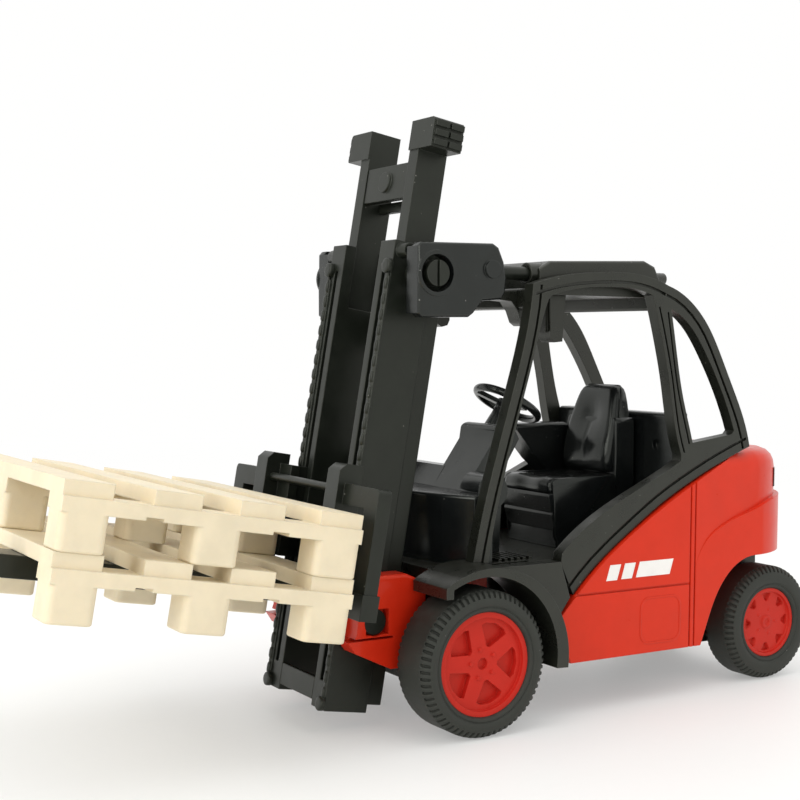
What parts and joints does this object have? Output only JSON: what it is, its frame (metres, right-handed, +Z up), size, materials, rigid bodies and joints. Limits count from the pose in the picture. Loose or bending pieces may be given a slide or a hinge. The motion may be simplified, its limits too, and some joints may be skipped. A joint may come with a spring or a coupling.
{
  "type": "toy forklift truck",
  "caption": "Toy counterbalance forklift with red body, black tilting two-stage mast, open cab and stacked ivory pallets on its forks.",
  "frame": {"origin": "bottom centre of the bounding box of the whole toy, on the ground plane the tyres stand on", "axes": "+X forward along the forks, +Y to the truck's left, +Z up"},
  "size_m": [0.1034, 0.0366, 0.063],
  "materials": {
    "red_paint": "glossy red enamel",
    "red_plastic": "satin red moulding",
    "tyre_rubber": "matte",
    "mast_plastic": "satin black",
    "cab_plastic": "glossy black",
    "guard_plastic": "satin black",
    "pallet_plastic": "ivory",
    "steel": "axles and screws",
    "lamp_red": "dark red lens"
  },
  "bodies": {
    "chassis": {"base_plate": "guard_plastic", "base_screws": "steel", "body_shell": "red_paint", "rear_lamps": "lamp_red", "mast_bracket": "red_paint", "cab_floor": "guard_plastic", "dashboard": "cab_plastic", "steering_column": "cab_plastic", "steering_wheel": "cab_plastic", "seat_pedestal": "cab_plastic", "seat_cushion": "cab_plastic", "seat_back": "cab_plastic", "armrest_console": "cab_plastic", "rear_bulkhead": "cab_plastic", "guard_side_left": "guard_plastic", "guard_side_right": "guard_plastic", "guard_front_bar": "guard_plastic", "guard_rear_bar": "guard_plastic", "roof_panel": "guard_plastic", "tilt_barrels": "guard_plastic", "work_lamps": "guard_plastic", "cab_mirror": "guard_plastic"},
    "front_wheels": {"front_axle": "steel", "front_hub_left": "red_plastic", "front_hub_right": "red_plastic", "front_tyre_left": "tyre_rubber", "front_tyre_right": "tyre_rubber"},
    "rear_wheels": {"rear_axle": "steel", "rear_hub_left": "red_plastic", "rear_hub_right": "red_plastic", "rear_tyre_left": "tyre_rubber", "rear_tyre_right": "tyre_rubber"},
    "mast": {"mast_rail_left": "mast_plastic", "mast_rail_right": "mast_plastic", "mast_foot_plate": "mast_plastic", "mast_upper_tie": "mast_plastic", "mast_lower_tie": "mast_plastic", "chain_strip_left": "mast_plastic", "chain_strip_right": "mast_plastic", "pivot_pins": "mast_plastic", "top_pins": "mast_plastic"},
    "tilt_link": {"tilt_plate_left": "cab_plastic", "tilt_plate_right": "cab_plastic", "tilt_rods": "mast_plastic"},
    "inner_mast": {"inner_rail_left": "mast_plastic", "inner_rail_right": "mast_plastic", "inner_crossbar": "mast_plastic", "inner_tie": "mast_plastic"},
    "carriage": {"carriage_frame": "mast_plastic", "carriage_rod": "mast_plastic", "fork_left": "mast_plastic", "fork_right": "mast_plastic"},
    "lower_pallet": {"pallet_lower": "pallet_plastic"},
    "upper_pallet": {"pallet_upper": "pallet_plastic"}
  },
  "joints": [
    {"name": "front_wheel_spin", "type": "hinge", "parent": "chassis", "child": "front_wheels", "pos_m": [-0.0007, 0, 0.0075], "axis": [0, 1, 0], "continuous": true},
    {"name": "rear_wheel_spin", "type": "hinge", "parent": "chassis", "child": "rear_wheels", "pos_m": [-0.0449, 0, 0.00675], "axis": [0, 1, 0], "continuous": true},
    {"name": "mast_tilt", "type": "hinge", "parent": "chassis", "child": "mast", "pos_m": [0.0083, 0, 0.01149], "axis": [0, 1, 0], "range_deg": [0, 9.4]},
    {"name": "tilt_rod_slide", "type": "slide", "parent": "chassis", "child": "tilt_link", "axis": [1, 0, 0], "range_m": [0, 0.00605]},
    {"name": "mast_lift", "type": "slide", "parent": "mast", "child": "inner_mast", "axis": [-0.1633, 0, 0.9866], "range_m": [-0.0098, 0.02]},
    {"name": "carriage_lift", "type": "slide", "parent": "mast", "child": "carriage", "axis": [-0.1633, 0, 0.9866], "range_m": [-0.0102, 0.02]},
    {"name": "lower_pallet_slide", "type": "slide", "parent": "carriage", "child": "lower_pallet", "axis": [0.9866, 0, 0.1633], "range_m": [0, 0.045]},
    {"name": "upper_pallet_lift", "type": "slide", "parent": "lower_pallet", "child": "upper_pallet", "axis": [-0.1633, 0, 0.9866], "range_m": [0, 0.03]}
  ],
  "couplings": [
    {"joint": "tilt_rod_slide", "follows": "mast_tilt", "m_per_rad": 0.035631}
  ]
}
